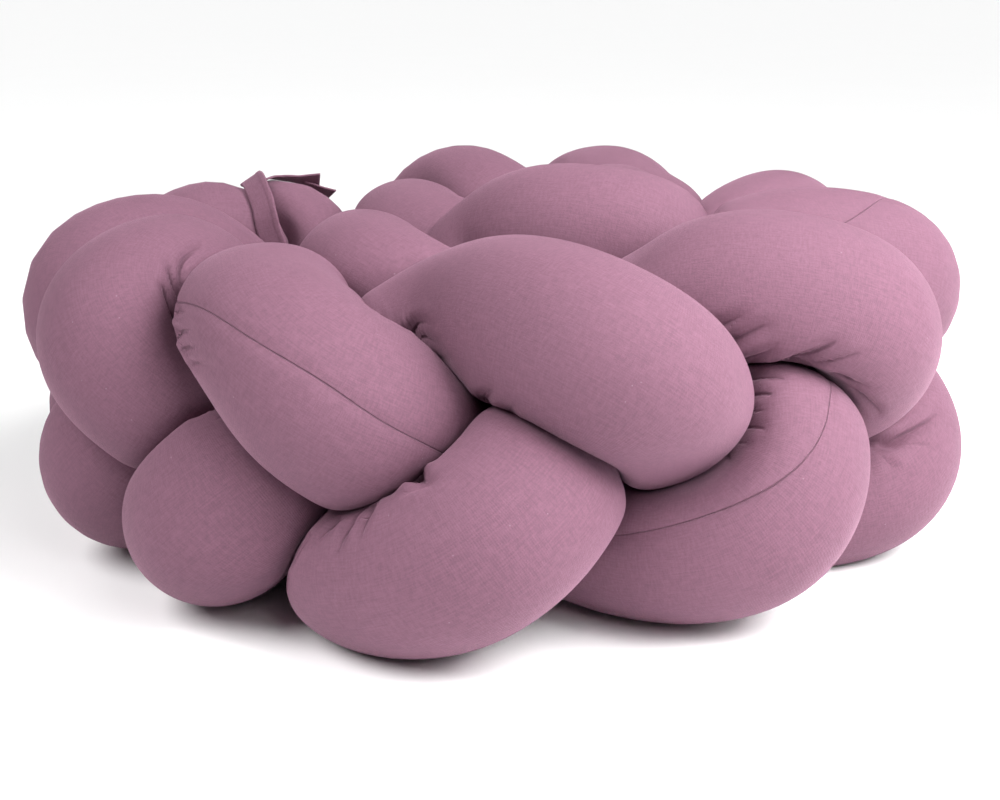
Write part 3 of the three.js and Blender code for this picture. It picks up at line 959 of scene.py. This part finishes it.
class NodeSheet:
    """A material's nodes, added and joined by name."""

    def __init__(self, name):
        self.material = bpy.data.materials.new(name)
        self.material.use_nodes = True
        self.nodes = self.material.node_tree.nodes
        self.links = self.material.node_tree.links
        self.shader = self.nodes["Principled BSDF"]

    def add(self, kind, inputs=None, **settings):
        """A new node with its settings; an input is a value or another node's socket."""
        node = self.nodes.new(kind)
        for key, value in settings.items():
            setattr(node, key, value)
        for key, value in (inputs or {}).items():
            self.join(node.inputs[key], value)
        return node

    def join(self, socket, value):
        """Sets a socket to a value, or links another node's socket to it."""
        if isinstance(value, bpy.types.NodeSocket):
            self.links.new(value, socket)
        else:
            socket.default_value = value

    def finish(self, values):
        """Sets the shader's own values and gives the material."""
        for key, value in values.items():
            self.shader.inputs[key].default_value = value
        return self.material

    def math(self, operation, a, b=0.0):
        """One step of arithmetic."""
        return self.add("ShaderNodeMath", {0: a, 1: b}, operation=operation).outputs[0]

    def mapped(self, source, scale):
        """Coordinates stretched by a scale for each axis."""
        return self.add("ShaderNodeMapping", {"Vector": source, "Scale": scale}).outputs[0]

    def noise(self, vector, scale, detail=2.0):
        """Soft noise between 0 and 1."""
        inputs = {"Vector": vector, "Scale": scale, "Detail": detail}
        return self.add("ShaderNodeTexNoise", inputs).outputs[0]

    def between(self, value, span, to_low, to_high):
        """A value carried from a span to another range, smoothly and held at its ends."""
        inputs = {"Value": value, "From Min": span[0], "From Max": span[1]}
        inputs |= {"To Min": to_low, "To Max": to_high}
        node = self.add("ShaderNodeMapRange", inputs, interpolation_type="SMOOTHSTEP")
        return node.outputs[0]

    def weave(self, vector, scale, direction):
        """Threads side by side in one direction, as bands between 0 and 1."""
        inputs = {"Vector": vector, "Scale": scale}
        return self.add("ShaderNodeTexWave", inputs, bands_direction=direction).outputs[1]

    def attribute(self, name):
        """A number that the mesh carries at each point."""
        return self.add("ShaderNodeAttribute", attribute_name=name).outputs["Fac"]

    def mix(self, share, a, b):
        """Two colours mixed by a share."""
        node = self.add("ShaderNodeMix", data_type="RGBA")
        self.join(node.inputs[0], share)
        self.join(node.inputs[6], a)
        self.join(node.inputs[7], b)
        return node.outputs[2]

    def bump(self, height, strength, distance, normal=None):
        """A bump as high as its height times a distance in metres, upon another's normal."""
        inputs = {"Height": height, "Strength": strength, "Distance": distance}
        node = self.add("ShaderNodeBump", inputs)
        if normal is not None:
            self.join(node.inputs["Normal"], normal)
        return node.outputs[0]


def toned(colour, share):
    """A colour times a share, held under one, with its alpha."""
    return tuple(min(1.0, share * c) for c in colour) + (1.0,)


def cotton_cloth(name, colour, thread, seamed=False):
    """Matte plain-woven cotton: crossing threads on the piece's own map, thicker threads here
    and there, a soft uneven dye, pale lint and a fuzzy sheen; on a seamed piece also the
    lines of its seam and creases, dark and sunk, from the offsets that its points carry: the
    seam's line in its own dark tone, and painted shade along each crease for the shade deep in
    the fold."""
    sheet = NodeSheet(name)
    coordinates = sheet.add("ShaderNodeTexCoord")
    cloth = coordinates.outputs["UV"]
    space = coordinates.outputs["Object"]
    waves = 2 * math.pi / (WAVE_FACTOR * thread)
    weave = sheet.math("MULTIPLY", sheet.weave(cloth, waves, "X"), sheet.weave(cloth, waves, "Y"))
    slub_along = sheet.noise(sheet.mapped(cloth, (SLUB_LONG, SLUB_FINE, 1)), 1.0)
    slub_across = sheet.noise(sheet.mapped(cloth, (SLUB_FINE, SLUB_LONG, 1)), 1.0)
    slub = sheet.math("ADD", slub_along, slub_across)
    dye = sheet.noise(space, DYE_SCALE, DYE_DETAIL)
    grain = sheet.noise(space, GRAIN_SCALE)
    shade = sheet.math("MULTIPLY", slub, SLUB_SHARE)
    shade = sheet.math("ADD", shade, sheet.math("MULTIPLY", grain, GRAIN_SHARE))
    shade = sheet.math("ADD", shade, sheet.math("MULTIPLY", dye, DYE_SHARE))
    shade = sheet.between(shade, SHADE_RANGE, 0.0, 1.0)
    tone = sheet.mix(shade, toned(colour, DEEP_TONE), toned(colour, PALE_TONE))
    tufts = sheet.add("ShaderNodeTexVoronoi", {"Vector": space, "Scale": LINT_SCALE})
    lint = sheet.between(tufts.outputs["Distance"], LINT_RADII, LINT_SHARE, 0.0)
    tone = sheet.mix(lint, tone, LINT_COLOUR)
    rough = sheet.bump(weave, *WEAVE_BUMP)
    rough = sheet.bump(slub, *SLUB_BUMP, rough)
    rough = sheet.bump(grain, *GRAIN_BUMP, rough)
    if seamed:
        seam_line_and_shade = toned(colour, SEAM_LINE_AND_SHADE_TONE)
        away = sheet.math("ABSOLUTE", sheet.attribute("seam"))
        line = sheet.between(away, GROOVE_LINE, 1.0, 0.0)
        groove = sheet.math("MULTIPLY", line, sheet.attribute("seam_near"))
        tone = sheet.mix(sheet.math("MULTIPLY", groove, GROOVE_SHARE), tone, seam_line_and_shade)
        # Painted shade: each crease's line is darkened towards the dark tone, for the shade deep in
        # the fold; the same mask also sinks it.
        away = sheet.math("ABSOLUTE", sheet.attribute("crease"))
        line = sheet.between(away, CREASE_SHADE_LINE, 1.0, 0.0)
        deep = sheet.between(sheet.attribute("crease_depth"), CREASE_DEPTHS, 0.0, 1.0)
        crease_shade_and_sink = sheet.math("MULTIPLY", line, deep)
        tone = sheet.mix(sheet.math("MULTIPLY", crease_shade_and_sink, CREASE_SHADE_SHARE), tone, seam_line_and_shade)
        sunk = sheet.math("ADD", crease_shade_and_sink, sheet.math("MULTIPLY", groove, GROOVE_SINK))
        rough = sheet.bump(sheet.math("MULTIPLY", sunk, -1.0), *LINE_BUMP, rough)
    sheet.join(sheet.shader.inputs["Base Color"], tone)
    sheet.join(sheet.shader.inputs["Normal"], rough)
    return sheet.finish(CLOTH_FINISH)


def floor_finish(name, colour):
    """Pale matte floor with a faint unevenness."""
    sheet = NodeSheet(name)
    cloud = sheet.noise(sheet.add("ShaderNodeTexCoord").outputs["Object"], FLOOR_CLOUD)
    tone = sheet.mix(cloud, toned(colour, 1.0), toned(colour, FLOOR_DIM))
    sheet.join(sheet.shader.inputs["Base Color"], tone)
    return sheet.finish(FLOOR_FINISH)


def add_light(name, place, aim, size, power, beam):
    """A square soft light of a size in metres, turned to its aim."""
    lamp = bpy.data.lights.new(name, "AREA")
    lamp.energy = power
    lamp.size = size
    lamp.spread = math.radians(beam)
    holder = bpy.data.objects.new(name, lamp)
    holder.visible_camera = False
    holder.location = place
    holder.rotation_euler = (Vector(aim) - Vector(place)).to_track_quat("-Z", "Y").to_euler()
    bpy.context.scene.collection.objects.link(holder)


class BUMPER_OT_tubes(bpy.types.Operator):
    """Build the three stuffed tubes of the plait"""

    bl_idname = "bumper.tubes"
    bl_label = "Plaited Tubes"

    def execute(self, context):
        sizes = context.scene.bumper_sizes
        colour = context.scene.bumper_colours.cotton
        cotton = cotton_cloth("mauve_cotton", colour, COTTON_THREAD, seamed=True)
        neighbours = neighbour_points()
        girth = 2 * np.pi * sizes.tube_radius / MM
        for tube in range(TUBES):
            grid = tube_grid(tube, sizes, neighbours)
            ends = tube_middle(tube, np.array([FIRST_ROW, LAST_ROW])) + CENTRE_SHIFT
            name = f"stuffed_tube_{tube + 1}"
            points = grid["points"] + CENTRE_SHIFT
            mesh = closed_skin(name, points, ends[0], ends[1], grid["run"], girth)
            # The seam's and the creases' offsets go on the mesh: from them the cloth draws the
            # seam's dark line and paints shade along the creases.
            for key in ("seam", "seam_near", "crease", "crease_depth"):
                values = np.pad(grid[key].ravel(), 1).astype(np.float32)
                mesh.attributes.new(key, "FLOAT", "POINT").data.foreach_set("value", values)
            piece = add_piece(name, mesh, cotton, f"tube_{tube + 1}")
        return {"FINISHED"}


class BUMPER_OT_ties(bpy.types.Operator):
    """Lay the two ribbon tails of the tie on the tubes"""

    bl_idname = "bumper.ties"
    bl_label = "Ribbon Tie"

    def execute(self, context):
        sizes = context.scene.bumper_sizes
        ribbon = cotton_cloth("mauve_ribbon", context.scene.bumper_colours.ribbon, RIBBON_THREAD)
        width = sizes.ribbon_width / MM
        skins = []
        for tube in range(TUBES):
            mesh = bpy.data.objects[f"stuffed_tube_{tube + 1}"].data
            flat = np.empty(3 * len(mesh.vertices), np.float32)
            mesh.vertices.foreach_get("co", flat)
            points = flat.reshape(-1, 3)[1:-1].reshape(RINGS, SIDES, 3) / MM - CENTRE_SHIFT
            skins.append((points, surface_normals(points)))
        for name, node, rows in (
            ("ribbon_tail_long", "tie_long", TIE_LONG_ROWS),
            ("ribbon_tail_short", "tie_short", TIE_SHORT_ROWS),
        ):
            middle, across = ribbon_axes(rows)
            middle = lay_on(middle, across, width / 2, skins)
            mesh, length = ribbon_mesh(name, middle + CENTRE_SHIFT, across, width)
            piece = add_piece(name, mesh, ribbon, node)
        return {"FINISHED"}


class BUMPER_OT_stage(bpy.types.Operator):
    """Set the pale floor, the soft light and the photograph's viewpoint"""

    bl_idname = "bumper.stage"
    bl_label = "Stage"

    def execute(self, context):
        scene = context.scene
        floor = bpy.data.meshes.new("floor")
        corners = [(-1, -1), (1, -1), (1, 1), (-1, 1)]
        corners = [(x * FLOOR_REACH, y * FLOOR_REACH, -FLOOR_DROP) for x, y in corners]
        floor.from_pydata(corners, [], [(0, 1, 2, 3)])
        floor.materials.append(floor_finish("pale_floor", scene.bumper_colours.floor))
        plate = bpy.data.objects.new("floor", floor)
        scene.collection.objects.link(plate)

        sun = bpy.data.lights.new("key", "SUN")
        sun.energy = KEY_STRENGTH
        sun.angle = math.radians(KEY_SOFTNESS)
        holder = bpy.data.objects.new("key", sun)
        holder.rotation_euler = (-Vector(KEY_FROM)).to_track_quat("-Z", "Y").to_euler()
        scene.collection.objects.link(holder)
        for light in LIGHTS:
            add_light(*light)

        world = bpy.data.worlds.new("studio")
        world.use_nodes = True
        sky = world.node_tree.nodes["Background"]
        sky.inputs["Color"].default_value = (1.0, 1.0, 1.0, 1.0)
        sky.inputs["Strength"].default_value = SKY_STRENGTH
        scene.world = world
        scene.view_settings.view_transform = "Standard"

        elevation = math.radians(VIEW_ELEVATION)
        camera = bpy.data.cameras.new("view")
        camera.sensor_width = SENSOR_WIDTH
        camera.lens = SENSOR_WIDTH * FOCAL_PX / IMAGE_WIDTH_PX
        eye = bpy.data.objects.new("view", camera)
        eye.location = Vector(
            (
                CENTRE_SHIFT[0] * MM,
                CENTRE_SHIFT[1] * MM - VIEW_DISTANCE * math.cos(elevation),
                VIEW_HEIGHT + VIEW_DISTANCE * math.sin(elevation),
            )
        )
        eye.rotation_euler = Euler((math.radians(90 - VIEW_ELEVATION - VIEW_DROP), 0, 0))
        scene.collection.objects.link(eye)
        scene.camera = eye
        return {"FINISHED"}


class BUMPER_PT_panel(bpy.types.Panel):
    """Sizes, colours and steps of the bumper"""

    bl_label = "Braided Cot Bumper"
    bl_idname = "BUMPER_PT_panel"
    bl_space_type = "VIEW_3D"
    bl_region_type = "UI"
    bl_category = "Bumper"

    def draw(self, context):
        for group in (context.scene.bumper_sizes, context.scene.bumper_colours):
            for key in group.__annotations__:
                self.layout.prop(group, key)
        for operator in (BUMPER_OT_tubes, BUMPER_OT_ties, BUMPER_OT_stage):
            self.layout.operator(operator.bl_idname)


CLASSES = (
    BumperSizes,
    BumperColours,
    BUMPER_OT_tubes,
    BUMPER_OT_ties,
    BUMPER_OT_stage,
    BUMPER_PT_panel,
)


def register():
    """Adds the classes and the scene's two groups."""
    for cls in CLASSES:
        bpy.utils.register_class(cls)
    bpy.types.Scene.bumper_sizes = bpy.props.PointerProperty(type=BumperSizes)
    bpy.types.Scene.bumper_colours = bpy.props.PointerProperty(type=BumperColours)


def unregister():
    """Takes away what register adds."""
    del bpy.types.Scene.bumper_colours
    del bpy.types.Scene.bumper_sizes
    for cls in reversed(CLASSES):
        bpy.utils.unregister_class(cls)


def main():
    """Builds the pieces and the stage."""
    register()
    bpy.ops.bumper.tubes()
    bpy.ops.bumper.ties()
    bpy.ops.bumper.stage()


if __name__ == "__main__":
    main()
